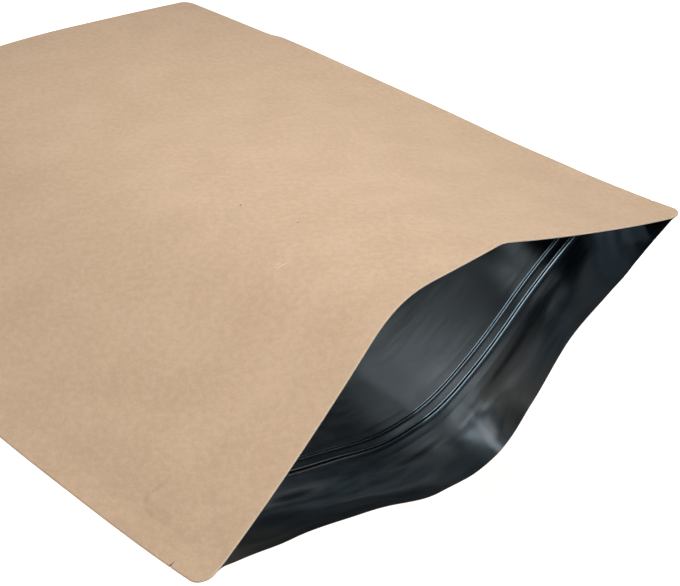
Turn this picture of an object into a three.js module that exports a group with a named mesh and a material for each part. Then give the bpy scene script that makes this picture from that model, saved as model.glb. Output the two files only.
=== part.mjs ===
// An empty kraft stand-up pouch that lies on its back web with its mouth held open.
// Millimetres, +Z up. +X runs along the mouth from one side seal to the other, +Y from the
// mouth to the bottom edge. The pouch rests on the ridge of its back web and on its bottom edge.
//
// The two webs start as flat sheets of WIDTH by HEIGHT. A point of a web is named by its flat
// place: across is its distance from the first side seal's edge, down its distance from the
// mouth. Opening the pouch bends both webs without stretching them: each cross-section keeps
// its length, and both webs have the same chord, so that their side seals stay together.
import * as THREE from 'three';

// The flat pouch
const WIDTH = 300;
const HEIGHT = 345;
const SIDE_SEAL = 8.4;
const CORNER_RADIUS = 5.5;
const NOTCH_DOWN = 17;
const NOTCH_DEPTH = 1.8;
const NOTCH_HALF_WIDTH = 1.3;
const GUSSET_DEPTH = 70;
const GUSSET_WAIST = 1.2;

// The webs' thickness, and the gap that two neighbouring solids keep
const WALL = 0.6;
const GAP = 0.3;

// The press-to-close zip: two tracks, one on each web, each a flange with two ribs
const ZIP_DOWN = 33.2;
const ZIP_FLANGE_WIDTH = 15;
const ZIP_FLANGE = 0.4;
const ZIP_RIB_SPACING = 5.5;
const ZIP_RIB_WIDTH = 1.6;
const ZIP_RIB_HEIGHT = 1.7;
const ZIP_CRUSHED_RIB = 0.08;
const ZIP_END_INSET = 1.5;

// How the open webs bend across their width: at is the bend's middle, turn its angle in degrees
// at the mouth, over the width that it is spread on. The back web's turns are in proportion
// only, as it opens until its chord is the front web's.
const SEAL_BEND = 6;
const FRONT_BENDS = [
  { at: 105.4, turn: -39.7, over: 40 },
  { at: 160.2, turn: -17.7, over: 9 },
];
const BACK_BENDS_AT_MOUTH = [
  { at: 143.8, turn: 14.3, over: 50 },
  { at: 172.3, turn: 34.1, over: 16.5 },
  { at: 226.2, turn: -26, over: 90 },
];
const MOUTH_SHAPE_REACH = 30.5;
const BACK_BENDS_BELOW_ZIP = [
  { at: 45.6, turn: -1.4, over: 88 },
  { at: 160.6, turn: 7.1, over: 88 },
  { at: 258.8, turn: -4.8, over: 87 },
];
const SEAL_TURN_FIRST = 20.7;
const SEAL_TURN_LAST = -9.5;

// How the opening fades from the mouth to the flat bottom edge, and how the pouch lies
const OPENING_POWER = 1.316;
const FIRST_SEAL_HOLDS = 0.039;
const SEAM_DROP_FIRST = -23.2;
const SEAM_RISE_LAST = 0.5;
const MOUTH_LIFT_FIRST = 14.9;
const MOUTH_LIFT_LAST = 10;
const MOUTH_LIFT_REACH = 0.35;
const BOTTOM_ARCH = 8.7;
const BOTTOM_ARCH_FROM = 0.6;

// The flat spot where the limp ridge rests
const FLAT_SPOT = 0.3;

// The grid that the solids are built on
const FINE_ACROSS = 300;
const FINE_DOWN = 69;
const COLUMN_STEP = 13.5;
const ROW_STEP = 24;

const RADIANS = Math.PI / 180;

function ease(value) {
  const x = Math.min(Math.max(value, 0), 1);
  return x * x * (3 - 2 * x);
}

// 0 before a bend, 1 after it
function passed(across, at, over) {
  return ease((across - at) / over + 0.5);
}

// 1 on the free web between the side seals, 0 in the seals
function freeWeb(across) {
  return passed(across, SIDE_SEAL, SEAL_BEND) - passed(across, WIDTH - SIDE_SEAL, SEAL_BEND);
}

// The slope of a web, summed up from its bends
function slopes(bends) {
  const step = WIDTH / FINE_ACROSS;
  const list = [];
  for (let i = 0; i < FINE_ACROSS; i += 1) {
    const across = (i + 0.5) * step;
    let slope = 0;
    for (const bend of bends) {
      slope += bend.turn * RADIANS * passed(across, bend.at, bend.over);
    }
    list.push(slope);
  }
  return list;
}

// Opens a web's cross-section. The slope in the seals is given, and the free web gets one more
// turn at both seals, found by Newton steps, so that the section ends as high as it began.
function openSection(slopeList, opening, sealOpening) {
  const step = WIDTH / FINE_ACROSS;
  const free = [];
  const sealed = [];
  for (let i = 0; i < FINE_ACROSS; i += 1) {
    const across = (i + 0.5) * step;
    free.push(freeWeb(across));
    const first = SEAL_TURN_FIRST * (1 - passed(across, SIDE_SEAL, SEAL_BEND));
    const last = SEAL_TURN_LAST * passed(across, WIDTH - SIDE_SEAL, SEAL_BEND);
    sealed.push((first + last) * RADIANS * sealOpening);
  }
  let lean = 0;
  for (let pass = 0; pass < 8; pass += 1) {
    let rise = 0;
    let gain = 0;
    for (let i = 0; i < FINE_ACROSS; i += 1) {
      const angle = (slopeList[i] * opening + lean) * free[i] + sealed[i];
      rise += Math.sin(angle);
      gain += Math.cos(angle) * free[i];
    }
    lean -= rise / gain;
  }
  const x = [0];
  const z = [0];
  for (let i = 0; i < FINE_ACROSS; i += 1) {
    const angle = (slopeList[i] * opening + lean) * free[i] + sealed[i];
    x.push(x[i] + Math.cos(angle) * step);
    z.push(z[i] + Math.sin(angle) * step);
  }
  return { x, z };
}

// Opens a section until its chord is the one given
function openToChord(slopeList, chord, sealOpening) {
  let opening = sealOpening;
  let section = openSection(slopeList, opening, sealOpening);
  for (let pass = 0; pass < 12; pass += 1) {
    const wanted = Math.max(WIDTH - chord, 1e-9);
    const found = Math.max(WIDTH - section.x[FINE_ACROSS], 1e-9);
    opening *= Math.sqrt(wanted / found);
    section = openSection(slopeList, opening, sealOpening);
  }
  return section;
}

// The back web's bends change from the mouth's to those below the zip
function backBends(down) {
  const mouth = ease(1 - down / MOUTH_SHAPE_REACH);
  const mix = (a, b) => mouth * a + (1 - mouth) * b;
  return BACK_BENDS_AT_MOUTH.map((bend, i) => {
    const below = BACK_BENDS_BELOW_ZIP[i];
    return {
      at: mix(bend.at, below.at),
      turn: mix(bend.turn, below.turn),
      over: mix(bend.over, below.over),
    };
  });
}

// How far a section is lifted off the plane of the flat pouch
function lift(across, down) {
  const x = across / WIDTH;
  const y = down / HEIGHT;
  const fade = (1 - y) ** 2;
  const nearMouth = Math.max(1 - y / MOUTH_LIFT_REACH, 0) ** 2;
  const seams = fade * ((1 - x) * SEAM_DROP_FIRST + x * SEAM_RISE_LAST);
  const corners = nearMouth * ((1 - x) ** 2 * MOUTH_LIFT_FIRST + x ** 2 * MOUTH_LIFT_LAST);
  const arch = BOTTOM_ARCH * ease((y - BOTTOM_ARCH_FROM) / (1 - BOTTOM_ARCH_FROM));
  return seams + corners + arch * Math.sin(Math.PI * x);
}

// Both webs as fine grids of points, row by row from the mouth to the bottom
function openWebs() {
  const frontSlopes = slopes(FRONT_BENDS);
  const front = [];
  const back = [];
  for (let row = 0; row <= FINE_DOWN; row += 1) {
    const down = (row / FINE_DOWN) * HEIGHT;
    const opening = Math.max(1 - down / HEIGHT, 1e-3) ** OPENING_POWER;
    const frontSection = openSection(frontSlopes, opening, opening);
    const chord = frontSection.x[FINE_ACROSS];
    const backSection = openToChord(slopes(backBends(down)), chord, opening);
    const shift = FIRST_SEAL_HOLDS * (WIDTH - chord);
    for (const [web, section] of [[front, frontSection], [back, backSection]]) {
      web.push(section.x.map((x, i) => {
        const across = (i / FINE_ACROSS) * WIDTH;
        return new THREE.Vector3(x + shift, 0, section.z[i] + lift(across, down));
      }));
    }
  }
  for (const web of [front, back]) {
    layOutLengthwise(web);
  }
  return { front, back };
}

// Keeps each lengthwise line of a web as long as it is flat, measured from the bottom edge
function layOutLengthwise(web) {
  const step = HEIGHT / FINE_DOWN;
  for (let i = 0; i <= FINE_ACROSS; i += 1) {
    web[FINE_DOWN][i].y = HEIGHT;
    for (let row = FINE_DOWN - 1; row >= 0; row -= 1) {
      const here = web[row][i];
      const below = web[row + 1][i];
      const sideways = (here.x - below.x) ** 2 + (here.z - below.z) ** 2;
      here.y = below.y - Math.sqrt(step ** 2 - sideways);
    }
  }
}

const webs = openWebs();
const FRONT = 1;
const BACK = -1;

function gridPoint(web, across, down) {
  const column = Math.min(Math.max((across / WIDTH) * FINE_ACROSS, 0), FINE_ACROSS);
  const row = Math.min(Math.max((down / HEIGHT) * FINE_DOWN, 0), FINE_DOWN);
  const i = Math.min(Math.floor(column), FINE_ACROSS - 1);
  const j = Math.min(Math.floor(row), FINE_DOWN - 1);
  const top = web[j][i].clone().lerp(web[j][i + 1], column - i);
  const bottom = web[j + 1][i].clone().lerp(web[j + 1][i + 1], column - i);
  return top.lerp(bottom, row - j);
}

// A surface is a function from flat place to point; these are the webs' sealing faces and the
// surface halfway between them
function sealingFace(side) {
  const web = side === FRONT ? webs.front : webs.back;
  return (across, down) => gridPoint(web, across, down);
}

function halfway(across, down) {
  return sealingFace(FRONT)(across, down).lerp(sealingFace(BACK)(across, down), 0.5);
}

// The direction that points out of the pouch's front
function upward(surface, across, down) {
  const reach = 2;
  const x0 = Math.max(across - reach, 0);
  const x1 = Math.min(across + reach, WIDTH);
  const y0 = Math.max(down - reach, 0);
  const y1 = Math.min(down + reach, HEIGHT);
  const alongX = surface(x1, down).sub(surface(x0, down));
  const alongY = surface(across, y1).sub(surface(across, y0));
  return alongX.cross(alongY).normalize();
}

function offset(surface, across, down, distance) {
  return surface(across, down).addScaledVector(upward(surface, across, down), distance);
}

// The room between a web and its sealing face: half a gap where the webs are sealed to each
// other, more where the folded gusset or the zip's flattened ends lie between them
const FOLD_DOWN = HEIGHT - GUSSET_DEPTH;
const GUSSET_ROOM = WALL + GAP;
const ZIP_ROOM = ZIP_FLANGE + ZIP_CRUSHED_RIB + GAP;

function gussetRoom(down) {
  return GUSSET_ROOM * ease((down - FOLD_DOWN + 11) / 9);
}

function zipRoom(across, down) {
  const fromSeal = Math.min(across, WIDTH - across) - SIDE_SEAL;
  const alongEnds = 1 - ease((fromSeal - 8) / 14);
  const beside = Math.abs(down - ZIP_DOWN) - ZIP_FLANGE_WIDTH / 2;
  return ZIP_ROOM * alongEnds * (1 - ease((beside - 1) / 5));
}

function room(across, down) {
  return GAP / 2 + gussetRoom(down) + zipRoom(across, down);
}

// How far the cut outline lies inside the flat pouch's straight sides
function inset(down) {
  let depth = 0;
  const fromEnd = Math.min(down, HEIGHT - down);
  if (fromEnd < CORNER_RADIUS) {
    const rise = CORNER_RADIUS - fromEnd;
    depth = CORNER_RADIUS - Math.sqrt(CORNER_RADIUS ** 2 - rise ** 2);
  }
  const fromNotch = Math.abs(down - NOTCH_DOWN) / NOTCH_HALF_WIDTH;
  depth += NOTCH_DEPTH * Math.max(1 - fromNotch, 0);
  return depth + GUSSET_WAIST * ease((down - FOLD_DOWN + 6) / 12);
}

// Draws the columns in the seals in to the cut outline
function trimmed(across, down) {
  const scale = (SIDE_SEAL - inset(down)) / SIDE_SEAL;
  if (across < SIDE_SEAL) {
    return SIDE_SEAL - (SIDE_SEAL - across) * scale;
  }
  if (across > WIDTH - SIDE_SEAL) {
    return WIDTH - SIDE_SEAL + (across - WIDTH + SIDE_SEAL) * scale;
  }
  return across;
}

function evenSteps(from, to, step) {
  const count = Math.round((to - from) / step);
  return Array.from({ length: count + 1 }, (_, i) => from + ((to - from) * i) / count);
}

function columnPlaces() {
  const bendStart = SIDE_SEAL - SEAL_BEND / 2;
  const bendEnd = SIDE_SEAL + SEAL_BEND / 2;
  const free = evenSteps(bendEnd, WIDTH - bendEnd, COLUMN_STEP);
  const mirrored = [SIDE_SEAL, bendStart, 0].map((place) => WIDTH - place);
  return [0, bendStart, SIDE_SEAL, ...free, ...mirrored];
}

// The lines that the zip's flange shares with the rows of its web
function zipPlaces() {
  const half = ZIP_FLANGE_WIDTH / 2;
  const ribs = (ZIP_RIB_SPACING + ZIP_RIB_WIDTH) / 2;
  return [-half, -ribs, 0, ribs, half];
}

function rowPlaces() {
  const corner = [0, 30, 60, 90].map((angle) => CORNER_RADIUS * (1 - Math.cos(angle * RADIANS)));
  const notch = [-1, 0, 1].map((side) => NOTCH_DOWN + side * NOTCH_HALF_WIDTH);
  const zip = [...zipPlaces(), ZIP_FLANGE_WIDTH / 2 + 6].map((place) => ZIP_DOWN + place);
  const fold = [-11, -6, -2, 3, 8].map((place) => FOLD_DOWN + place);
  const body = evenSteps(zip[5] + ROW_STEP, fold[0] - ROW_STEP, ROW_STEP);
  const bottom = corner.map((place) => HEIGHT - place).reverse();
  const sealed = evenSteps(fold[4], bottom[0], ROW_STEP).slice(1, -1);
  return [...corner, ...notch, ...zip, ...body, ...fold, ...sealed, ...bottom];
}

const COLUMNS = columnPlaces();
const ROWS = rowPlaces();

// A closed sheet between two grids of points that face each other
function sheet(outer, inner) {
  const rows = outer.length;
  const columns = outer[0].length;
  const corners = [];
  const quad = (a, b, c, d) => corners.push(a, b, c, a, c, d);
  for (let j = 0; j < rows - 1; j += 1) {
    for (let i = 0; i < columns - 1; i += 1) {
      quad(outer[j][i], outer[j][i + 1], outer[j + 1][i + 1], outer[j + 1][i]);
      quad(inner[j][i], inner[j + 1][i], inner[j + 1][i + 1], inner[j][i + 1]);
    }
  }
  for (let i = 0; i < columns - 1; i += 1) {
    const end = rows - 1;
    quad(outer[0][i + 1], outer[0][i], inner[0][i], inner[0][i + 1]);
    quad(outer[end][i], outer[end][i + 1], inner[end][i + 1], inner[end][i]);
  }
  for (let j = 0; j < rows - 1; j += 1) {
    const end = columns - 1;
    quad(outer[j][0], outer[j + 1][0], inner[j + 1][0], inner[j][0]);
    quad(outer[j + 1][end], outer[j][end], inner[j][end], inner[j + 1][end]);
  }
  return corners;
}

// A closed bar swept through rings of points, with a flat cap at both ends
function bar(rings, capTriangles) {
  const corners = [];
  for (let i = 0; i < rings.length - 1; i += 1) {
    const ring = rings[i];
    const next = rings[i + 1];
    for (let k = 0; k < ring.length; k += 1) {
      const l = (k + 1) % ring.length;
      corners.push(ring[k], ring[l], next[l], ring[k], next[l], next[k]);
    }
  }
  const lastRing = rings[rings.length - 1];
  for (const [a, b, c] of capTriangles) {
    corners.push(rings[0][a], rings[0][c], rings[0][b]);
    corners.push(lastRing[a], lastRing[b], lastRing[c]);
  }
  return corners;
}

// Turns corners, three to a triangle, into a geometry whose faces point out
function solid(corners) {
  let volume = 0;
  for (let i = 0; i < corners.length; i += 3) {
    const edge = new THREE.Vector3().crossVectors(corners[i + 1], corners[i + 2]);
    volume += corners[i].dot(edge);
  }
  const ordered = volume > 0 ? corners : corners.toReversed();
  const geometry = new THREE.BufferGeometry().setFromPoints(ordered);
  geometry.computeVertexNormals();
  return geometry;
}

// The pouch turns about the mouth's direction until it lies on its bottom edge and its ridge
function restingTurn(points) {
  const feet = points.filter((point) => point.y > HEIGHT / 2);
  const ridge = points.filter((point) => point.y < HEIGHT / 2);
  let angle = 0;
  let foot = feet[0];
  for (let pass = 0; pass < 5; pass += 1) {
    const height = (point) => point.z * Math.cos(angle) - point.y * Math.sin(angle);
    foot = feet.reduce((low, point) => (height(point) < height(low) ? point : low));
    const steepness = (point) => Math.atan2(foot.z - point.z - FLAT_SPOT, foot.y - point.y);
    angle = Math.max(...ridge.map(steepness));
  }
  const turn = new THREE.Matrix4().makeRotationX(-angle);
  return { turn, drop: foot.clone().applyMatrix4(turn).z };
}

// The grid of one face of a web, at a distance from the web's sealing face
function webFace(side, depth) {
  const surface = sealingFace(side);
  return ROWS.map((down) => COLUMNS.map((place) => {
    const across = trimmed(place, down);
    return offset(surface, across, down, side * (room(across, down) + depth));
  }));
}

function placeUpright(faces, turn, drop) {
  for (const point of faces.flat(2)) {
    point.applyMatrix4(turn);
    point.z -= drop;
  }
}

// The limp ridge of the back web is pressed flat where it meets the floor
function flattenRidge(outer) {
  for (const point of outer.flat()) {
    point.z = Math.max(point.z, 0);
  }
}

// The folded gusset: from the bottom edge up along the front web, round the fold, and down
// along the back web. Each step says where its middle is and which way its outer face looks.
function gussetFaces() {
  const half = WALL / 2;
  const lay = GAP / 2 + half;
  const foldTop = FOLD_DOWN;
  const legRows = ROWS.filter((down) => down > foldTop + 4);
  const outer = [];
  const inner = [];
  const addLeg = (side, down) => {
    const toFold = ease((HEIGHT - down) / GUSSET_DEPTH);
    const rowOuter = [];
    const rowInner = [];
    for (const place of COLUMNS) {
      const across = trimmed(place, down);
      const surface = (x, y) => sealingFace(side)(x, y).lerp(halfway(x, y), toFold);
      rowOuter.push(offset(surface, across, down, side * (lay + half)));
      rowInner.push(offset(surface, across, down, side * (lay - half)));
    }
    outer.push(rowOuter);
    inner.push(rowInner);
  };
  for (const down of legRows.toReversed()) {
    addLeg(FRONT, down);
  }
  for (const angle of [90, 45, 0, -45, -90]) {
    const rowOuter = [];
    const rowInner = [];
    for (const place of COLUMNS) {
      const across = trimmed(place, foldTop);
      const middle = halfway(across, foldTop);
      const up = upward(halfway, across, foldTop);
      const along = halfway(across, foldTop - 2).sub(halfway(across, foldTop + 2)).normalize();
      const out = up.clone().multiplyScalar(Math.sin(angle * RADIANS));
      out.addScaledVector(along, Math.cos(angle * RADIANS));
      rowOuter.push(middle.clone().addScaledVector(out, lay + half));
      rowInner.push(middle.clone().addScaledVector(out, lay - half));
    }
    outer.push(rowOuter);
    inner.push(rowInner);
  }
  for (const down of legRows) {
    addLeg(BACK, down);
  }
  return { outer, inner };
}

// One track of the zip: a flange with two ribs, laid on the inside of its web. The ribs are
// crushed flat where the track runs into the side seals.
function zipOutline(ribHeight) {
  const half = ZIP_FLANGE_WIDTH / 2;
  const ribs = [ZIP_RIB_SPACING / 2, -ZIP_RIB_SPACING / 2];
  const outline = [...zipPlaces().map((place) => [place, 0]), [half, ZIP_FLANGE]];
  for (const middle of ribs) {
    const side = ZIP_RIB_WIDTH / 2;
    const top = ZIP_FLANGE + ribHeight;
    outline.push([middle + side, ZIP_FLANGE], [middle + side, top]);
    outline.push([middle - side, top], [middle - side, ZIP_FLANGE]);
  }
  outline.push([-half, ZIP_FLANGE]);
  return outline;
}

function zipTrack(side) {
  const surface = sealingFace(side);
  const places = COLUMNS.map((place) => trimmed(place, ZIP_DOWN));
  places[0] += ZIP_END_INSET;
  places[places.length - 1] -= ZIP_END_INSET;
  const rings = places.map((across) => {
    const fromSeal = Math.min(across, WIDTH - across) - SIDE_SEAL;
    const rise = (ZIP_RIB_HEIGHT - ZIP_CRUSHED_RIB) * ease((fromSeal - 3) / 22);
    return zipOutline(ZIP_CRUSHED_RIB + rise).map(([beside, height]) => {
      const down = ZIP_DOWN + beside;
      const depth = room(across, down) - GAP - height;
      return offset(surface, across, down, side * depth);
    });
  });
  const flat = zipOutline(ZIP_RIB_HEIGHT).map(([x, y]) => new THREE.Vector2(x, y));
  return bar(rings, THREE.ShapeUtils.triangulateShape(flat, []));
}

// Every node of the pouch: its faces are made flat on their webs, then the whole pouch is laid
// on the floor
const frontOuter = webFace(FRONT, WALL);
const frontInner = webFace(FRONT, 0);
const backOuter = webFace(BACK, WALL);
const backInner = webFace(BACK, 0);
const gusset = gussetFaces();
const zipCorners = { front: zipTrack(FRONT), back: zipTrack(BACK) };

const { turn, drop } = restingTurn(backOuter.flat());
const grids = [frontOuter, frontInner, backOuter, backInner, gusset.outer, gusset.inner];
placeUpright(grids, turn, drop);
for (const point of new Set([...zipCorners.front, ...zipCorners.back])) {
  point.applyMatrix4(turn);
  point.z -= drop;
}
flattenRidge(backOuter);

const KRAFT = { color: 0xd2b79c, roughness: 0.85, metalness: 0 };
const FILM = { color: 0x23272b, roughness: 0.4, metalness: 0 };

const pouch = new THREE.Group();

function addNode(name, corners, finish) {
  const mesh = new THREE.Mesh(solid(corners), new THREE.MeshStandardMaterial(finish));
  mesh.name = name;
  pouch.add(mesh);
}

addNode('front_web', sheet(frontOuter, frontInner), KRAFT);
addNode('back_web', sheet(backOuter, backInner), KRAFT);
addNode('bottom_gusset', sheet(gusset.outer, gusset.inner), KRAFT);
addNode('zip_track_front', zipCorners.front, FILM);
addNode('zip_track_back', zipCorners.back, FILM);

// The origin is under the middle of the pouch's box
const box = new THREE.Box3().setFromObject(pouch);
const middle = box.getCenter(new THREE.Vector3());
pouch.position.set(-middle.x, -middle.y, -box.min.z);

export default pouch;
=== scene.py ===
"""An empty kraft stand-up pouch that lies on its back web with its mouth held open.

The pouch is made as the real one is: every ply and both zip tracks are first modelled flat, and
are then bent open together. On the flat pouch x is the distance across from the first side
seal's edge, y the distance down from the mouth, and z the height above the faces that are
sealed to each other. Flat sizes are in metres, as the finished pieces are.
"""
import math

import bpy
import numpy as np
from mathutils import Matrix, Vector


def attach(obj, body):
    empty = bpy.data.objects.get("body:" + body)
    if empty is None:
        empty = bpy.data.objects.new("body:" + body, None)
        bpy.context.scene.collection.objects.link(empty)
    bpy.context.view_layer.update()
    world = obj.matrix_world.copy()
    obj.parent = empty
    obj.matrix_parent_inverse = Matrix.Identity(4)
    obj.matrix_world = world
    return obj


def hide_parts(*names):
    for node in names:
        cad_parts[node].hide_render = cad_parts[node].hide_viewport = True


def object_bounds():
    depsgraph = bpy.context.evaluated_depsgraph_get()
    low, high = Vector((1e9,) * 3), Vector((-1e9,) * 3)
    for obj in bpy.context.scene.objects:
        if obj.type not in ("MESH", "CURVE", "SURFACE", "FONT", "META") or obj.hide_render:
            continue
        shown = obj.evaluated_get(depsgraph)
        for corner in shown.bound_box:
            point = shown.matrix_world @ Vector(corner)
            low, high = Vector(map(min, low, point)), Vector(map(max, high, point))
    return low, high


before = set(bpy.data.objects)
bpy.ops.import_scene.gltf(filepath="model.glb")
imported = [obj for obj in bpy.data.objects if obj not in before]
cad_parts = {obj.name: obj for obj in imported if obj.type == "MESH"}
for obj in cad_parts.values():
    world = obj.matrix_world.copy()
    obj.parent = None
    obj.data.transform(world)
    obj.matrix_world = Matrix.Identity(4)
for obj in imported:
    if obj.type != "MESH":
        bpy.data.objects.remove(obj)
cad_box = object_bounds()

MM = 0.001

# The flat pouch
WIDTH = 300 * MM
HEIGHT = 345 * MM
SIDE_SEAL = 8.4 * MM
CORNER_RADIUS = 5.5 * MM
NOTCH_DOWN_FIRST = 14.4 * MM
NOTCH_DOWN_LAST = 17 * MM
NOTCH_DEPTH = 2.2 * MM
NOTCH_HALF_WIDTH = 0.4 * MM

# The laminate: kraft paper outside, black film inside. The back web's paper ends a little short
# of its film at the mouth.
FILM = 0.1 * MM
KRAFT = 0.3 * MM
WALL = FILM + KRAFT
GAP = 0.06 * MM
BACK_PAPER_SHORT = 0.35 * MM
SHORT_FADES_OVER = 8 * MM

# The gusset, folded in from the bottom edge, and the waist that both webs have beside it. Where
# it folds, the way towards the mouth is measured over a little to either side.
GUSSET_DEPTH = 70 * MM
FOLD_DOWN = HEIGHT - GUSSET_DEPTH
FOLD_RADIUS = GAP / 2 + WALL / 2
FOLD_LENGTH = math.pi * FOLD_RADIUS
MOUTHWARDS_OVER = 2 * MM
GUSSET_WAIST = 1.2 * MM
WAIST_OVER = 12 * MM

# The press-to-close zip. Its ribs are crushed flat in the side seals, and reach their full
# height further in. The rib on the inner side, away from the mouth, is the lower one. The flange
# thins out towards its long edges.
ZIP_DOWN = 33.2 * MM
ZIP_FLANGE_WIDTH = 15 * MM
ZIP_FLANGE = 0.25 * MM
ZIP_RIB_SPACING = 5.5 * MM
ZIP_RIB_WIDTHS = (2.2 * MM, 1.8 * MM)
ZIP_JAW_GAP = 0.36 * MM
ZIP_STEM_WIDTHS = (0.5 * MM, 0.5 * MM)
ZIP_RIB_HEIGHT = 1.7 * MM
ZIP_INNER_RIB_PART = 0.75
ZIP_CRUSHED_RIB = 0.08 * MM
ZIP_RIBS_RISE = (3 * MM, 22 * MM)
ZIP_THIN_EDGE = 2.2 * MM
ZIP_THIN_PART = 0.25
ZIP_END_INSET = 3 * MM

# How each jaw and stem rises from its flange: steps up, in parts of the rib's height, and how
# much wider or narrower it gets with each
JAW_PROFILE = ((0.45, 1), (0.25, 0.86), (0.15, 0.74), (0.08, 0.6), (0.03, 0.5))
STEM_PROFILE = ((0.5, 1), (0.001, 2.2), (0.25, 0.94), (0.249, 0.3))

# The room between the webs that the gusset and the crushed zip ends take up: where it begins to
# grow or shrink, and over what length. The gusset's is measured from its fold, and the zip's in
# from each side edge and away from its flange.
GUSSET_ROOM = (-11 * MM, 9 * MM)
ZIP_ROOM_GROWS = (0.5 * MM, 2.2 * MM)
ZIP_ROOM_ENDS = (SIDE_SEAL + 8 * MM, 14 * MM)
ZIP_ROOM_BESIDE = (1 * MM, 5 * MM)

# How the open webs bend across their width: the bend's middle, its angle in degrees at the
# mouth, and the width that it is spread on. The back web's angles are in proportion only. The
# side seals turn with them, each by its own angle.
SEAL_BEND = 6 * MM
FRONT_BENDS = ((105.4 * MM, -39.7, 40 * MM), (160.2 * MM, -17.7, 9 * MM))
BACK_BENDS_AT_MOUTH = (
    (143.8 * MM, 14.3, 50 * MM),
    (172.8 * MM, 34.1, 10 * MM),
    (226.2 * MM, -26, 90 * MM),
)
BACK_BENDS_BELOW_ZIP = (
    (45.6 * MM, -1.4, 88 * MM),
    (160.6 * MM, 7.1, 88 * MM),
    (258.8 * MM, -4.8, 87 * MM),
)
MOUTH_SHAPE_REACH = 30.5 * MM
SEAL_TURN_FIRST = 20.7
SEAL_TURN_LAST = -9.5

# How the opening fades from the mouth to the flat bottom edge, how much of the narrowing is at
# the first seal, how the seams and the bottom edge rise and fall, and how the pouch lies
OPENING_POWER = 1.316
FIRST_SEAL_HOLDS = 0.039
SEAM_DROP_FIRST = -23.2 * MM
SEAM_RISE_LAST = 0.5 * MM
MOUTH_LIFT_FIRST = 14.9 * MM
MOUTH_LIFT_LAST = 10 * MM
MOUTH_LIFT_REACH = 0.35
BOTTOM_ARCH = 8.7 * MM
BOTTOM_ARCH_FROM = 0.6
RESTING_TURN = math.radians(-9.364)

# Dents in the webs: how high in mm, along which flat places in mm across and down, and how wide
# to either side. They rise out of the front web, and into the pouch from the back web. Away
# from their line they fall off by a power.
DENT_POWER = 1.5
FRONT_DENTS = (
    (-0.8, ((16.5, 123), (21, 111), (25, 99), (34, 75.5), (39, 59), (43, 48)), 16),
    (-0.35, ((22, 41), (12, 38), (9.5, 34), (10.5, 28), (12, 24.7), (22.5, 20), (27, 17.5)), 3.6),
    (-0.3, ((71.5, 43), (71.5, 46)), 9),
    (-0.15, ((16, 33), (24.5, 39.5)), 5),
    (-0.12, ((20.5, 8), (21, 11)), 5),
    (0.3, ((242, 36), (243, 50)), 12),
    (-0.25, ((278, 28), (279, 42)), 9),
    (0.3, ((228, 180), (240, 150), (255, 125), (275, 96), (294, 74)), 26),
)
BACK_DENTS = (
    (0.5, ((173.5, -6), (173, 10), (173.5, 22)), 7),
    (-0.22, ((182, -4), (180.5, 18)), 8),
    (0.2, ((191, -4), (192, 19)), 9),
    (-0.12, ((213, -4), (212, 14)), 14),
    (-0.35, ((157.5, 36), (156.5, 55), (157, 80)), 9),
    (-0.25, ((60, 22.6), (110, 22.4), (150, 21.4), (200, 21.8), (285, 22.4)), 3.6),
    (0.25, ((110, 19), (147, 17.8), (156, 19.4), (166, 17.4), (176, 18.6)), 3),
    (0.3, ((222, 46), (229, 80)), 22),
    (-0.4, ((205, 44), (213, 90)), 18),
    (0.12, ((60, 12), (84, 16)), 14),
    (0.2, ((246, 0), (247.5, 16)), 8),
    (-0.2, ((256, 0), (257, 14)), 7),
    (0.2, ((263, 2), (276, 8)), 7),
)

# Where the webs' edges stand off their fair curve: the place across and down, how far this
# reaches across, towards the mouth and towards the bottom, and the move along x, y and z, in mm.
# The first are of both webs, and the others of the back web alone.
EDGE_DRAWS = (
    ((0, 0), (80, 75, 75), (-1.3, -1.0, 0)),
    ((300, 0), (90, 90, 90), (-1.6, 0, 0)),
    ((300, 266), (90, 80, 9), (1.8, 0, 0)),
    ((190, 345), (55, 60, 60), (0, 1.1, 0)),
)
BACK_DRAWS = (
    ((24, 0), (22, 40, 40), (0, 1.0, 0.2)),
    ((75, 0), (32, 55, 55), (0, -1.9, -0.3)),
    ((122, 0), (36, 55, 55), (0, -1.4, -0.3)),
    ((151, 0), (18, 30, 30), (0, -1.3, -0.2)),
    ((167, 0), (24, 55, 55), (0, -1.1, -0.4)),
    ((196, 0), (26, 40, 40), (0, -1.1, 0)),
    ((250, 0), (32, 55, 55), (0, -1.2, -0.3)),
)

# The kraft's tones, and the few marks on it, in mm across and down: pale scuffs from one place
# to another, dark specks with their size, and darker lines near the first corner of the mouth
# with their half width and strength
KRAFT_DARK = (0.558, 0.402, 0.272, 1)
KRAFT_DARK_WARM = (0.572, 0.400, 0.266, 1)
KRAFT_PALE = (0.652, 0.482, 0.338, 1)
KRAFT_PALE_WARM = (0.668, 0.480, 0.331, 1)
KRAFT_CUT = (0.80, 0.66, 0.50, 1)
KRAFT_PRESSED = (0.40, 0.27, 0.17, 1)
KRAFT_SPECK = (0.06, 0.04, 0.025, 1)
KRAFT_SHIVE = (0.30, 0.19, 0.11, 1)
KRAFT_SCUFFS = (((101, 60.6), (107.5, 57.9)), ((103, 62), (105.5, 60.6)))
SCUFF_HALF_WIDTH = 0.55
SCUFF_CORE = 0.4
KRAFT_SPECKS = ((127.5, 110.1, 0.6), (130, 79, 0.45))
SPECK_CORE = 0.45
KRAFT_DARK_LINES = (
    ((24, 36.5), (13.5, 40.5), 1.6, 0.3),
    ((15.5, 41), (10, 37.5), 1.6, 0.3),
    ((10.5, 39.5), (9.6, 30), 1.6, 0.32),
    ((9.8, 33), (10.2, 22), 1.6, 0.25),
    ((10, 26), (9, 8), 1.6, 0.12),
    ((25.5, 24), (22.5, 12), 4, 0.2),
    ((22, 15), (12, 3), 4, 0.16),
    ((38, 30), (41, 26), 2.6, 0.2),
)

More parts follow.
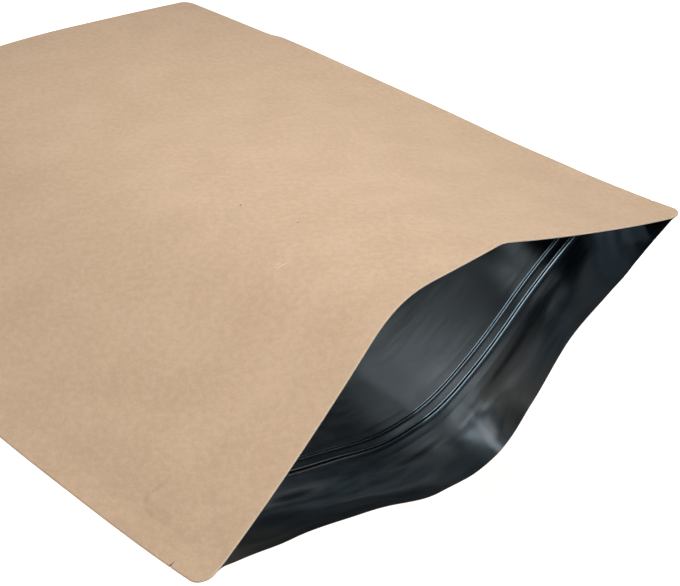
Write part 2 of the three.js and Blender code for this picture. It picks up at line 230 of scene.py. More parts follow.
# How the paper's fibres run to the mouth's edge, how far down its cut shows and fades at the
# mouth, and how far in from the sides it is pressed darker
FIBRES_TURN = math.radians(45)
MOUTH_CUT_SHOWS = (0.2 * MM, 0.7 * MM)
SIDE_PRESSED = (0.6 * MM, 0.1 * MM)

# The paper's and the film's cut edges, which the seals press darker and brown with paper dust
# from a little below the mouth on
CUT_DARK = (0.66, 0.52, 0.38, 1)
CUT_PALE = (0.84, 0.70, 0.54, 1)
FILM_CUT = (0.01, 0.011, 0.012, 1)
DUST_DARK = (0.20, 0.13, 0.08, 1)
DUST_PALE = (0.30, 0.20, 0.12, 1)
CUT_CHANGES = (1 * MM, 3 * MM)

# The film and the zip, and a painted highlight on the back web's film, pale lines along its ridge
# from the zip to the mouth: from one place to another, its half width in mm, and its strength
FILM_DARK = (0.0035, 0.0085, 0.014, 1)
FILM_PALE = (0.0055, 0.0125, 0.020, 1)
FILM_PAINTED_HIGHLIGHT = (0.55, 0.66, 0.75, 1)
BACK_PAINTED_HIGHLIGHT = (((176.8, 42), (164.8, -42), 3, 0.4), ((172, 34), (164, -14), 9, 0.16))
ZIP_DARK = (0.005, 0.0105, 0.0155, 1)
ZIP_PALE = (0.008, 0.0145, 0.021, 1)

# The camera: where it stands in metres, how it is turned in degrees, and its lens and sensor
# in millimetres
CAMERA_PLACE = (-0.33277, -0.33882, 0.37129)
CAMERA_TURN = (50.3705, -8.258, -46.3503)
CAMERA_LENS = 70.11
CAMERA_SENSOR = 36
CAMERA_CLIP_START = 0.01

# The pale floor glows a little, so that it looks white
FLOOR_SIZE = 12
FLOOR_GREY = (0.45, 0.45, 0.45, 1)
FLOOR_GLOW = (1.0, 0.99, 0.98, 1)
FLOOR_GLOW_STRENGTH = 0.9

# The light's colours, and the room's brightness as it falls on things and in reflections
WHITE = (1.0, 1.0, 1.0)
BLUE = (0.62, 0.84, 1.0)
COOL = (0.84, 0.95, 1.0)
WARM = (1.0, 0.94, 0.82)
ROOM_COLOUR = (1.0, 0.98, 0.95)
ROOM_LIGHT = 0.3
ROOM_REFLECTED = 0.07

# Round lamps, which light the paper: each one's place, radius, power in watts and colour
LAMPS = {
    "overhead": ((0.102, 0.04, 0.412), 0.10, 4.55, (0.985, 0.99, 1.0)),
    "left_fill": ((-0.235, -0.135, 0.25), 0.05, 0.66, (1.0, 0.965, 0.94)),
}

# Flat panels, which the film reflects: each one's place, the way it faces, its size, brightness
# and colour
PANELS = {
    "left_window": ((-0.25, -0.35, 1.2), (0.25, 0.2, -1.1), (0.5, 0.5), 4.8, WHITE),
    "mouth_light": ((-0.07, -0.74, 0.60), (0.07, 0.57, -0.55), (1.0, 0.4), 15, BLUE),
}

# Rows of sheen inside the pouch, just under the front web: where each starts across, how far
# down it lies and how long it is in mm, its colour, how wide it spreads in degrees, and its
# brightness in steps from left to right
SHEEN_WIDTH = 10 * MM
SHEEN_BELOW_WEB = 4 * MM
SHEENS = (
    (105, 9, 14, BLUE, 180, (0.8, 0.7, 0.5, 0.5, 0.6, 1.3, 10, 4, 11)),
    (165, 61, 30, COOL, 120, (2.4, 1.9, 0.3, 0.1, 0.2, 1.8, 0.3, 1.0)),
    (165, 87, 22, COOL, 120, (2.2, 1.4, 0.6, 0.9, 0.5, 0.4, 0.3)),
    (125, 62, 26, COOL, 90, (2.5, 3.0, 2.4, 1.8)),
    (115, 85, 50, WARM, 180, (3.2, 2.8, 0.4, 0.3, 0.2)),
    (125, 127, 32, WARM, 180, (1.3, 1.4, 1.8, 1.6, 1.4, 1.1, 0.9)),
    (45, 25, 20, BLUE, 180, (0.6, 0.7, 0.6, 0.4)),
    (95, 42, 30, WARM, 180, (5.8, 0.6, 0.2, 0.1, 0.1)),
    (205, 42, 10, BLUE, 180, (0.6, 0.1, 1.2)),
    (205, 20, 24, COOL, 180, (0.6, 0.1, 0.2, 0.3, 0.3)),
    (255, 20, 34, BLUE, 180, (0.14, 0.35, 0.22, 0.34)),
)

# The Mix node's sockets for the factor and both colours, and the one that gives the result
MIX_SOCKETS = (0, 6, 7)
MIX_RESULT = 2

# The two webs, by the way that each lies from the faces that are sealed to each other
FRONT = 1
BACK = -1

# How fine the open webs are worked out: the sections that are bent, and the points between them.
# A place on the far edge is read this part of a step inside it.
SECTION_STEP = 5 * MM
FINE_STEP = 1 * MM
FAR_EDGE_INSIDE = 0.001

# How fine the pieces' grids are: over the webs, in and beside the side seals, round the zip and
# the gusset's fold, on the gusset, also near its fold, and at the corners, by turns in degrees
WEB_PITCH = 2.1 * MM
SEAL_PITCH = 1.05 * MM
ZIP_PITCH = 1.2 * MM
GUSSET_PITCH = 4 * MM
GUSSET_ROW_PITCH = 3 * MM
GUSSET_FINE_PITCH = 1 * MM
FINE_PAST_SEAL_BEND = 14 * MM
FINE_PAST_ZIP = 14 * MM
FINE_ABOVE_FOLD = 12 * MM
FINE_BELOW_FOLD = 8 * MM
GUSSET_FINE_REACH = 4 * MM
FOLD_STEPS = 10
WEB_CORNER_TURN = 10
GUSSET_CORNER_TURN = 15

# The sharpest angles, in degrees, that are shaded smooth on the plies and on the zip
PLY_SMOOTH_ANGLE = 35
ZIP_SMOOTH_ANGLE = 32

# What tells a sheet's faces apart: how far up or down a normal points on its top, and on its
# rim at most, and how near to the zip's flange a face or an edge counts as being on it
FACES_UP = 0.9
FACES_SIDEWAYS = 0.5
ZIP_NEAR = 0.01 * MM

# The rounds of approximation that bend a section level and match the back web to the front, and
# the least opening and narrowing, which keep them from dividing by nothing
LEAN_ROUNDS = 8
MATCH_ROUNDS = 13
LEAST_OPENING = 1e-3
LEAST_NARROWING = 1e-12


# ---- The shape of the open pouch -----------------------------------------------------------------

def ease(value):
    """A smooth step from 0 at 0 to 1 at 1."""
    x = np.clip(value, 0, 1)
    return x * x * (3 - 2 * x)


def grown(value, start, over):
    """0 up to a start, and 1 from a length past it on."""
    return ease((value - start) / over)


def passed(value, at, over):
    """0 before a bend or fold, 1 after it, and halfway in its middle."""
    return ease((value - at) / over + 0.5)


def section_middles():
    """The places across where a section's short straight parts have their middles."""
    return (np.arange(round(WIDTH / FINE_STEP)) + 0.5) * FINE_STEP


def open_sections(slopes, opening, seal_opening):
    """Bends the cross-sections, one to a row, and keeps their length. Each ends as high as it
    began, because the free web between the seals leans by one angle more, found by Newton steps."""
    across = section_middles()
    before = passed(across, SIDE_SEAL, SEAL_BEND)
    after = passed(across, WIDTH - SIDE_SEAL, SEAL_BEND)
    free = before - after
    sealed = np.radians(SEAL_TURN_FIRST * (1 - before) + SEAL_TURN_LAST * after)
    sealed = sealed * seal_opening[:, None]
    lean = np.zeros(len(slopes))
    for _ in range(LEAN_ROUNDS):
        angle = (slopes * opening[:, None] + lean[:, None]) * free + sealed
        lean -= np.sin(angle).sum(1) / (np.cos(angle) * free).sum(1)
    angle = (slopes * opening[:, None] + lean[:, None]) * free + sealed
    x = np.cumsum(np.cos(angle), 1) * FINE_STEP
    z = np.cumsum(np.sin(angle), 1) * FINE_STEP
    return np.pad(x, ((0, 0), (1, 0))), np.pad(z, ((0, 0), (1, 0)))


def front_slopes(down):
    """The front web's bends, the same at every distance down."""
    across = section_middles()
    slope = sum(math.radians(turn) * passed(across, at, over) for at, turn, over in FRONT_BENDS)
    return np.tile(slope, (len(down), 1))


def back_slopes(down):
    """The back web's bends, which change from the mouth's to those below the zip."""
    across = section_middles()
    mouth = ease(1 - down / MOUTH_SHAPE_REACH)[:, None]
    slope = 0
    for bend, below in zip(BACK_BENDS_AT_MOUTH, BACK_BENDS_BELOW_ZIP):
        at, turn, over = (mouth * a + (1 - mouth) * b for a, b in zip(bend, below))
        slope = slope + np.radians(turn) * passed(across, at, over)
    return slope


def lift(across, down):
    """How far a section is lifted off the plane of the flat pouch."""
    x = across / WIDTH
    y = down / HEIGHT
    near_mouth = np.maximum(1 - y / MOUTH_LIFT_REACH, 0) ** 2
    seams = (1 - y) ** 2 * ((1 - x) * SEAM_DROP_FIRST + x * SEAM_RISE_LAST)
    corners = near_mouth * ((1 - x) ** 2 * MOUTH_LIFT_FIRST + x ** 2 * MOUTH_LIFT_LAST)
    arch = BOTTOM_ARCH * ease((y - BOTTOM_ARCH_FROM) / (1 - BOTTOM_ARCH_FROM))
    return seams + corners + arch * np.sin(math.pi * x)


def lay_out_lengthwise(x, z):
    """Keeps each lengthwise line of a web as long as it is flat, measured from the bottom."""
    sideways = np.diff(x, axis=0) ** 2 + np.diff(z, axis=0) ** 2
    lengthwise = np.sqrt(SECTION_STEP ** 2 - sideways)
    below = np.cumsum(lengthwise[::-1], axis=0)[::-1]
    y = HEIGHT - np.vstack([below, np.zeros(x.shape[1])])
    return np.stack([x, y, z], -1)


def fill_in_rows(sections):
    """Fine rows on a smooth curve through the sections, each by a cubic through four of them."""
    row = np.arange(round(HEIGHT / FINE_STEP) + 1) * FINE_STEP / SECTION_STEP
    j = np.minimum(row.astype(int), len(sections) - 2)
    t = (row - j)[:, None, None]
    before = 2 * sections[:1] - sections[1:2]
    after = 2 * sections[-1:] - sections[-2:-1]
    padded = np.concatenate([before, sections, after])
    a, b, c, d = (padded[j + k] for k in range(4))
    return b + t / 2 * (c - a + t * (2 * a - 5 * b + 4 * c - d + t * (3 * (b - c) + d - a)))


def open_webs():
    """The sealing faces of both webs as fine grids of points, row by row from the mouth. The
    back web opens as far as it must for its seals to meet the front web's."""
    down = np.arange(round(HEIGHT / SECTION_STEP) + 1) * SECTION_STEP
    across = np.arange(round(WIDTH / FINE_STEP) + 1) * FINE_STEP
    seal_opening = np.maximum(1 - down / HEIGHT, LEAST_OPENING) ** OPENING_POWER
    front_x, front_z = open_sections(front_slopes(down), seal_opening, seal_opening)
    chord = front_x[:, -1]
    opening = seal_opening
    slopes = back_slopes(down)
    for _ in range(MATCH_ROUNDS):
        back_x, back_z = open_sections(slopes, opening, seal_opening)
        wanted = np.maximum(WIDTH - chord, LEAST_NARROWING)
        found = np.maximum(WIDTH - back_x[:, -1], LEAST_NARROWING)
        opening = opening * np.sqrt(wanted / found)
    shift = (FIRST_SEAL_HOLDS * (WIDTH - chord))[:, None]
    raised = lift(across[None, :], down[:, None])
    front = lay_out_lengthwise(front_x + shift, front_z + raised)
    back = lay_out_lengthwise(back_x + shift, back_z + raised)
    return fill_in_rows(front), fill_in_rows(back)


def unit_normals(grid):
    """The direction at each point of a grid that looks out of the pouch's front."""
    along_x = np.gradient(grid, axis=1)
    along_y = np.gradient(grid, axis=0)
    normal = np.cross(along_x, along_y)
    return normal / np.linalg.norm(normal, axis=-1, keepdims=True)


def grid_places():
    """The flat places, across and down, of a fine grid's points."""
    down = np.arange(round(HEIGHT / FINE_STEP) + 1) * FINE_STEP
    across = np.arange(round(WIDTH / FINE_STEP) + 1) * FINE_STEP
    return np.meshgrid(across, down)


def fold_line(across, down, places, width):
    """A soft crease along a line of flat places: 1 on the line, 0 at its width to either side,
    and fading at both ends."""
    result = np.zeros_like(across)
    for start, end in zip(places, places[1:]):
        along = np.subtract(end, start)
        length = np.hypot(*along)
        u = ((across - start[0]) * along[0] + (down - start[1]) * along[1]) / length
        v = ((down - start[1]) * along[0] - (across - start[0]) * along[1]) / length
        beyond = np.maximum(np.maximum(-u, u - length), 0)
        near = np.hypot(v, beyond) / width
        result = np.maximum(result, np.maximum(1 - near, 0) ** DENT_POWER)
    return result


def dented_by(dents):
    """Presses creases and soft spots into a web; each dent is in millimetres."""
    across, down = grid_places()
    result = np.zeros_like(across)
    for depth, places, width in dents:
        line = [(x * MM, y * MM) for x, y in places]
        result += depth * MM * fold_line(across, down, line, width * MM)
    return result


def sample(grid, across, down):
    """A grid's value at any flat place, smooth between its points."""
    column = np.clip(across / FINE_STEP, 0, grid.shape[1] - 1 - FAR_EDGE_INSIDE)
    row = np.clip(down / FINE_STEP, 0, grid.shape[0] - 1 - FAR_EDGE_INSIDE)
    i = column.astype(int)
    j = row.astype(int)
    u = (column - i)[:, None]
    v = (row - j)[:, None]
    top = grid[j, i] * (1 - u) + grid[j, i + 1] * u
    bottom = grid[j + 1, i] * (1 - u) + grid[j + 1, i + 1] * u
    return top * (1 - v) + bottom * v


def web_surface(grid, dents, draws):
    """A web's points and normals, with its dents pressed in and its edges drawn in or out."""
    dented = grid + unit_normals(grid) * dents[..., None]
    across, down = grid_places()
    for (at_across, at_down), (sideways, above, below), move in draws:
        beside = np.abs(across / MM - at_across) / sideways
        further = down / MM - at_down
        lengthwise = np.maximum(further / below, -further / above)
        near = ease(1 - beside) * ease(1 - lengthwise)
        dented += near[..., None] * np.multiply(move, MM)
    return np.concatenate([dented, unit_normals(dented)], -1)


smooth_front, smooth_back = open_webs()
surfaces = {
    FRONT: web_surface(smooth_front, dented_by(FRONT_DENTS), EDGE_DRAWS),
    BACK: web_surface(smooth_back, dented_by(BACK_DENTS), EDGE_DRAWS + BACK_DRAWS),
}


def upright(points):
    """Turns points of the open pouch about the mouth's direction until it lies on the floor."""
    c, s = math.cos(RESTING_TURN), math.sin(RESTING_TURN)
    x, y, z = points[..., 0], points[..., 1], points[..., 2]
    return np.stack([x, y * c - z * s, y * s + z * c], -1)


# ---- Room between the webs, and the cut outline --------------------------------------------------

def gusset_room(down):
    """Half of what the folded gusset takes up between the webs."""
    return (WALL + GAP) * grown(down - FOLD_DOWN, *GUSSET_ROOM)


def zip_room(across, down):
    """What each crushed end of a zip track takes up beside its web."""
    from_edge = np.minimum(across, WIDTH - across)
    from_flange = np.abs(down - ZIP_DOWN) - ZIP_FLANGE_WIDTH / 2
    at_ends = grown(from_edge, *ZIP_ROOM_GROWS) * (1 - grown(from_edge, *ZIP_ROOM_ENDS))
    beside = 1 - grown(from_flange, *ZIP_ROOM_BESIDE)
    return (ZIP_FLANGE + ZIP_CRUSHED_RIB + GAP) * at_ends * beside


def room(across, down):
    """How far each web's inner face lies from the faces that would be sealed to each other."""
    return GAP / 2 + gusset_room(down) + zip_room(across, down)


def inset(down, notch_down):
    """How far the cut outline lies inside a straight side of the flat pouch."""
    from_end = np.minimum(down, HEIGHT - down)
    rise = np.clip(CORNER_RADIUS - from_end, 0, CORNER_RADIUS)
    depth = CORNER_RADIUS - np.sqrt(CORNER_RADIUS ** 2 - rise ** 2)
    notch = NOTCH_DEPTH * np.maximum(1 - np.abs(down - notch_down) / NOTCH_HALF_WIDTH, 0)
    waist = GUSSET_WAIST * passed(down, FOLD_DOWN, WAIST_OVER)
    return depth + notch + waist


def trimmed(across, down):
    """Draws what lies in the side seals in to the cut outline."""
    first = SIDE_SEAL - (SIDE_SEAL - across) * (1 - inset(down, NOTCH_DOWN_FIRST) / SIDE_SEAL)
    from_last = across - WIDTH + SIDE_SEAL
    last = WIDTH - SIDE_SEAL + from_last * (1 - inset(down, NOTCH_DOWN_LAST) / SIDE_SEAL)
    return np.where(across < SIDE_SEAL, first, np.where(across > WIDTH - SIDE_SEAL, last, across))


def outer_face(web, side):
    """The outer face of an undented web, turned to rest."""
    across, down = (places.ravel() for places in grid_places())
    across = trimmed(across, down)
    found = sample(np.concatenate([web, unit_normals(web)], -1), across, down)
    away = side * (room(across, down) + WALL)
    return upright(found[:, :3] + found[:, 3:] * away[:, None])


def resting_place():
    """The move that brings the turned pouch into the frame: middle on middle, and on the floor."""
    faces = np.vstack([outer_face(smooth_front, FRONT), outer_face(smooth_back, BACK)])
    cad_low, cad_high = (np.array(corner) for corner in cad_box)
    move = (cad_low + cad_high) / 2 - (faces.min(0) + faces.max(0)) / 2
    move[2] = -faces[:, 2].min()
    return move


RESTING_PLACE = resting_place()


# ---- Modelling helpers ---------------------------------------------------------------------------

def steps(start, end, pitch):
    """Places from a start up to, but without, an end."""
    count = max(round((end - start) / pitch), 1)
    return [start + (end - start) * i / count for i in range(count)]


def column_places(pitch):
    """Fine in the side seals and beside them, even between."""
    fine = SIDE_SEAL + SEAL_BEND + FINE_PAST_SEAL_BEND
    places = steps(0, fine, SEAL_PITCH) + steps(fine, WIDTH - fine, pitch)
    return places + steps(WIDTH - fine, WIDTH, SEAL_PITCH) + [WIDTH]


def corner_places(turn):
    """Places down a rounded corner, one for each turn in degrees."""
    return [CORNER_RADIUS * (1 - math.cos(math.radians(angle))) for angle in range(0, 90, turn)]


def row_places():
    """Fine at the rounded corners, the tear notches, the zip and the gusset's fold."""
    corner = corner_places(WEB_CORNER_TURN)
    places = list(corner)
    end = CORNER_RADIUS
    for notch_down in (NOTCH_DOWN_FIRST, NOTCH_DOWN_LAST):
        notch = [notch_down + side * NOTCH_HALF_WIDTH for side in (-1, -0.5, 0, 0.5)]
        places += steps(end, notch[0], WEB_PITCH) + notch
        end = notch_down + NOTCH_HALF_WIDTH
    below_zip = ZIP_DOWN + FINE_PAST_ZIP
    above_fold = FOLD_DOWN - FINE_ABOVE_FOLD
    below_fold = FOLD_DOWN + FINE_BELOW_FOLD
    places += steps(end, below_zip, ZIP_PITCH)
    places += steps(below_zip, above_fold, WEB_PITCH)
    places += steps(above_fold, below_fold, ZIP_PITCH)
    places += steps(below_fold, HEIGHT - CORNER_RADIUS, WEB_PITCH)
    return places + [HEIGHT - place for place in reversed(corner)]


def coordinates(piece):
    """A mesh's points, one to a row."""
    flat = np.empty(len(piece.data.vertices) * 3, np.float32)
    piece.data.vertices.foreach_get("co", flat)
    return flat.reshape(-1, 3).astype(float)


def set_coordinates(piece, points):
    piece.data.vertices.foreach_set("co", np.asarray(points, np.float32).ravel())
    piece.data.update()


def only(piece):
    """Selects one piece, and nothing else."""
    bpy.ops.object.select_all(action="DESELECT")
    piece.select_set(True)
    bpy.context.view_layer.objects.active = piece


def grid_sheet(name, columns, rows, height):
    """A flat sheet with its grid lines at the given places, at one height."""
    bpy.ops.object.select_all(action="DESELECT")
    bpy.ops.mesh.primitive_grid_add(
        x_subdivisions=len(columns) - 1, y_subdivisions=len(rows) - 1, size=1, location=(0, 0, 0)
    )
    piece = bpy.context.object
    piece.name = name
    piece.data.name = name
    points = coordinates(piece)
    i = np.rint((points[:, 0] + 0.5) * (len(columns) - 1)).astype(int)
    j = np.rint((points[:, 1] + 0.5) * (len(rows) - 1)).astype(int)
    across, down = np.array(columns)[i], np.array(rows)[j]
    set_coordinates(piece, np.stack([across, down, np.full(len(points), height)], -1))
    return piece


def thicken(piece, thickness):
    """Gives a flat sheet its thickness, downwards from its face. Its rim takes the finish of the
    cut edge, which is the piece's second one."""
    only(piece)
    solidify = piece.modifiers.new("thickness", "SOLIDIFY")
    solidify.thickness = thickness
    solidify.offset = -1
    solidify.use_rim = True
    bpy.ops.object.modifier_apply(modifier=solidify.name)
    for face in piece.data.polygons:
        face.material_index = int(abs(face.normal.z) < FACES_SIDEWAYS)


def keep_flat_place(piece):
    """Writes each corner's flat place to the UV map, which the finishes follow."""
    data = piece.data
    while data.uv_layers:
        data.uv_layers.remove(data.uv_layers[0])
    layer = data.uv_layers.new(name="flat_place")
    corners = np.empty(len(data.loops), np.int32)
    data.loops.foreach_get("vertex_index", corners)
    places = coordinates(piece)[corners][:, :2].astype(np.float32)
    layer.data.foreach_set("uv", places.ravel())


def lay_down(piece, points):
    """Gives an open piece its points, turned to rest, in the frame's place and on the floor."""
    points = upright(points) + RESTING_PLACE
    points[:, 2] = np.maximum(points[:, 2], 0)
    set_coordinates(piece, points)


def bend_open(piece, side):
    """Brings a flat piece to its web's open shape and lays it on the floor."""
    across, down, height = coordinates(piece).T
    found = sample(surfaces[side], across, down)
    out = found[:, 3:] / np.linalg.norm(found[:, 3:], axis=1)[:, None]
    away = side * room(across, down) + height
    lay_down(piece, found[:, :3] + out * away[:, None])


def smooth(piece, angle):
    """Shades a piece smooth, but for edges that are sharper than an angle in degrees."""
    only(piece)
    bpy.ops.object.shade_smooth_by_angle(angle=math.radians(angle))


def dress(piece, slot, node, *materials):
    """Gives a finished piece its materials, and says what it is in the frame: it never moves
    against the pouch, and takes a CAD node's place."""
    for material in materials:
        piece.data.materials.append(material)
    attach(piece, "root")
    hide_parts(node)


# ---- Finishes ------------------------------------------------------------------------------------

class Nodes:
    """A material's node tree, with short calls for the nodes that the finishes use. Patterns lie
    on the flat pouch, and their scales are per metre across and down."""

    def __init__(self, name):
        self.material = bpy.data.materials.new(name)
        self.material.use_nodes = True
        self.tree = self.material.node_tree
        self.tree.nodes.clear()
        self.shader = self.add("ShaderNodeBsdfPrincipled")
        output = self.add("ShaderNodeOutputMaterial")
        self.feed(output.inputs["Surface"], self.shader.outputs[0])
        self.flat_place = self.add("ShaderNodeUVMap", uv_map="flat_place").outputs[0]

    def add(self, kind, **settings):
        node = self.tree.nodes.new(kind)
        for name, value in settings.items():
            setattr(node, name, value)
        return node

    def feed(self, socket, value):
        """Sets a socket, or links it if the value is another node's output."""
        if isinstance(value, bpy.types.NodeSocket):
            self.tree.links.new(value, socket)
        else:
            socket.default_value = value

    def shade(self, values):
        """Feeds the shader's sockets by their names."""
        for name, value in values.items():
            self.feed(self.shader.inputs[name], value)

    def mapped(self, place, turn, scale, kind="POINT"):
        """The flat place, moved, turned and scaled."""
        node = self.add("ShaderNodeMapping", vector_type=kind)
        self.feed(node.inputs["Vector"], self.flat_place)
        self.feed(node.inputs["Location"], (*place, 0))
        self.feed(node.inputs["Rotation"], (0, 0, turn))
        self.feed(node.inputs["Scale"], (*scale, 1))
        return node.outputs[0]

    def noise(self, scale, detail=2, roughness=0.5, turn=0, offset=(0, 0)):
        node = self.add("ShaderNodeTexNoise", noise_dimensions="2D")
        self.feed(node.inputs["Vector"], self.mapped(offset, turn, scale))
        self.feed(node.inputs["Scale"], 1)
        self.feed(node.inputs["Detail"], detail)
        self.feed(node.inputs["Roughness"], roughness)
        return node.outputs["Fac"]

    def spot(self, at, size):
        """1 at a flat place, and 0 from its size on."""
        node = self.add("ShaderNodeVectorMath", operation="DISTANCE")
        self.feed(node.inputs[0], self.flat_place)
        self.feed(node.inputs[1], (*at, 0))
        return self.ramp(node.outputs["Value"], SPECK_CORE * size, size, to_low=1, to_high=0)

    def across_and_down(self):
        node = self.add("ShaderNodeSeparateXYZ")
        self.feed(node.inputs[0], self.flat_place)
        return node.outputs[0], node.outputs[1]

    def line(self, start, end, half_width, core=0.0):
        """1 in the core of a line between two flat places, and 0 from its half width on, all in
        mm but the core, which is a part of the half width."""
        middle = [(a + b) / 2 * MM for a, b in zip(start, end)]
        turn = math.atan2(end[1] - start[1], end[0] - start[0])
        half_length = math.dist(start, end) / 2 * MM
        on_line = self.mapped(middle, turn, (half_length, half_width * MM), "TEXTURE")
        node = self.add("ShaderNodeVectorMath", operation="LENGTH")
        self.feed(node.inputs[0], on_line)
        return self.ramp(node.outputs["Value"], core, 1, to_low=1, to_high=0)

    def calculate(self, operation, *values):
        node = self.add("ShaderNodeMath", operation=operation)
        for socket, value in zip(node.inputs, values):
            self.feed(socket, value)
        return node.outputs[0]

    def ramp(self, value, low, high, to_low=0, to_high=1):
        """An eased step: one amount up to the low value, and another from the high one on."""
        node = self.add("ShaderNodeMapRange", interpolation_type="SMOOTHSTEP")
        self.feed(node.inputs["Value"], value)
        self.feed(node.inputs["From Min"], low)
        self.feed(node.inputs["From Max"], high)
        self.feed(node.inputs["To Min"], to_low)
        self.feed(node.inputs["To Max"], to_high)
        return node.outputs[0]

    def mix(self, factor, first, second):
        """One colour or value shown through another."""
        node = self.add("ShaderNodeMix", data_type="RGBA")
        for socket, value in zip(MIX_SOCKETS, (factor, first, second)):
            self.feed(node.inputs[socket], value)
        return node.outputs[MIX_RESULT]

    def marked(self, colour, mark, strength, mark_colour):
        """A colour with a mark on it, as strong as the mark's value times its strength."""
        return self.mix(self.calculate("MULTIPLY", mark, strength), colour, mark_colour)

    def bump(self, height, distance, strength, under=None):
        """A relief of a height in metres, on top of another one if that is given."""
        node = self.add("ShaderNodeBump")
        self.feed(node.inputs["Strength"], strength)
        self.feed(node.inputs["Distance"], distance)
        self.feed(node.inputs["Height"], height)
        if under is not None:
            self.feed(node.inputs["Normal"], under)
        return node.outputs[0]


def kraft_tones(n, mottling, fibres):
    """Two near hues of brown, each from dark to pale in soft clouds, mottling and fibres."""
    clouds = n.noise((38, 46))
    hue = n.noise((95, 120), offset=(8, 2))
    tone = 0
    for pattern, weight in ((clouds, 0.25), (mottling, 0.43), (fibres, 0.32)):
        tone = n.calculate("MULTIPLY_ADD", pattern, weight, tone)
    dark = n.mix(hue, KRAFT_DARK, KRAFT_DARK_WARM)
    pale = n.mix(hue, KRAFT_PALE, KRAFT_PALE_WARM)
    return n.mix(n.ramp(tone, 0.32, 0.68), dark, pale)


def kraft_marks(n, colour, fibres):
    """The paper's specks, darker lines, shives and scuffs."""
    for x, y, size in KRAFT_SPECKS:
        colour = n.mix(n.spot((x * MM, y * MM), size * MM), colour, KRAFT_SPECK)
    for start, end, half_width, strength in KRAFT_DARK_LINES:
        colour = n.marked(colour, n.line(start, end, half_width), strength, KRAFT_PRESSED)
    shives = n.noise((520, 900), turn=1.1, offset=(11, 2))
    colour = n.mix(n.ramp(shives, 0.70, 0.80, to_high=0.22), colour, KRAFT_SHIVE)
    for start, end in KRAFT_SCUFFS:
        scuff = n.line(start, end, SCUFF_HALF_WIDTH, SCUFF_CORE)
        colour = n.marked(colour, scuff, fibres, KRAFT_CUT)
    return colour


def kraft_edges(n, colour):
    """Paler at the mouth's cut, and darker at the pressed sides."""
    across, down = n.across_and_down()
    colour = n.mix(n.ramp(down, *MOUTH_CUT_SHOWS, to_low=0.5, to_high=0), colour, KRAFT_CUT)
    from_middle = n.calculate("ABSOLUTE", n.calculate("SUBTRACT", across, WIDTH / 2))
    start, full = (WIDTH / 2 - from_side for from_side in SIDE_PRESSED)
    pressed = n.ramp(from_middle, start, full, to_high=0.5)
    return n.mix(pressed, colour, KRAFT_PRESSED)


def kraft_paper():
    """Brown paper with soft mottling, short fibres and a few marks on a dry surface."""
    n = Nodes("kraft_paper")
    mottling = n.noise((420, 300), detail=3, roughness=0.6, turn=FIBRES_TURN, offset=(3, 7))
    fibres = n.noise((1700, 1100), detail=3, roughness=0.7, turn=FIBRES_TURN, offset=(1, 5))
    colour = kraft_marks(n, kraft_tones(n, mottling, fibres), fibres)
    n.shade({
        "Base Color": kraft_edges(n, colour),
        "Roughness": n.ramp(mottling, 0.2, 0.8, to_low=0.82, to_high=0.92),
        "Specular IOR Level": 0.12,
        "Normal": n.bump(fibres, 0.05 * MM, 0.5),
    })
    return n.material


def cut_paper():
    """The edge where the kraft is cut: pale at the mouth, pressed darker at the sides."""
    n = Nodes("cut_paper")
    fibres = n.noise((900, 900), detail=3, roughness=0.6)
    down = n.across_and_down()[1]
    colour = n.mix(n.ramp(fibres, 0.3, 0.7), CUT_DARK, CUT_PALE)
    n.shade({
        "Base Color": n.mix(n.ramp(down, *CUT_CHANGES), colour, KRAFT_PRESSED),
        "Roughness": 0.9,
        "Normal": n.bump(fibres, 0.08 * MM, 0.6),
    })
    return n.material


def cut_film():
    """The film's cut edge: black at the mouth, and browned by paper dust along the seals."""
    n = Nodes("cut_film")
    dust = n.noise((600, 600), roughness=0.6)
    down = n.across_and_down()[1]
    brown = n.mix(dust, DUST_DARK, DUST_PALE)
    n.shade({
        "Base Color": n.mix(n.ramp(down, *CUT_CHANGES), FILM_CUT, brown),
        "Roughness": n.ramp(dust, 0.3, 0.7, to_low=0.6, to_high=0.8),
    })
    return n.material


def black_film(name, painted_highlights=()):
    """The black lining: a satin film with a faint grain and long soft waves, and with paler lines
    painted on as a highlight where they are given."""
    n = Nodes(name)
    waves = n.noise((22, 60), roughness=0.45)
    grain = n.noise((700, 700))
    streaks = n.noise((60, 420), detail=3, roughness=0.55, turn=0.05)
    colour = n.mix(n.ramp(waves, 0.3, 0.7), FILM_DARK, FILM_PALE)
    # Paler lines painted on as a highlight, where the film should catch the light
    for start, end, half_width, strength in painted_highlights:
        colour = n.marked(colour, n.line(start, end, half_width), strength, FILM_PAINTED_HIGHLIGHT)
    relief = n.bump(waves, 0.9 * MM, 0.6)
    relief = n.bump(streaks, 0.10 * MM, 0.35, relief)
    n.shade({
        "Base Color": colour,
        "Roughness": n.ramp(streaks, 0.25, 0.75, to_low=0.30, to_high=0.38),
        "Specular IOR Level": 0.55,
        "Normal": n.bump(grain, 0.02 * MM, 0.4, relief),
    })
    return n.material


def zip_plastic():
    """The zip tracks: the same black, drawn smoother, so they shine more."""
    n = Nodes("zip_plastic")
    drawn = n.noise((25, 1500))
    n.shade({
        "Base Color": n.mix(n.ramp(drawn, 0.3, 0.7), ZIP_DARK, ZIP_PALE),
        "Roughness": n.ramp(drawn, 0.3, 0.7, to_low=0.20, to_high=0.28),
        "Specular IOR Level": 1.0,
        "Normal": n.bump(drawn, 0.03 * MM, 0.4),
    })
    return n.material


def pale_floor():
    """A matt grey that glows a little."""
    n = Nodes("pale_floor")
    n.shade({
        "Base Color": FLOOR_GREY,
        "Roughness": 0.9,
        "Specular IOR Level": 0.0,
        "Emission Color": FLOOR_GLOW,
        "Emission Strength": FLOOR_GLOW_STRENGTH,
    })
    return n.material


# ---- The pieces ----------------------------------------------------------------------------------

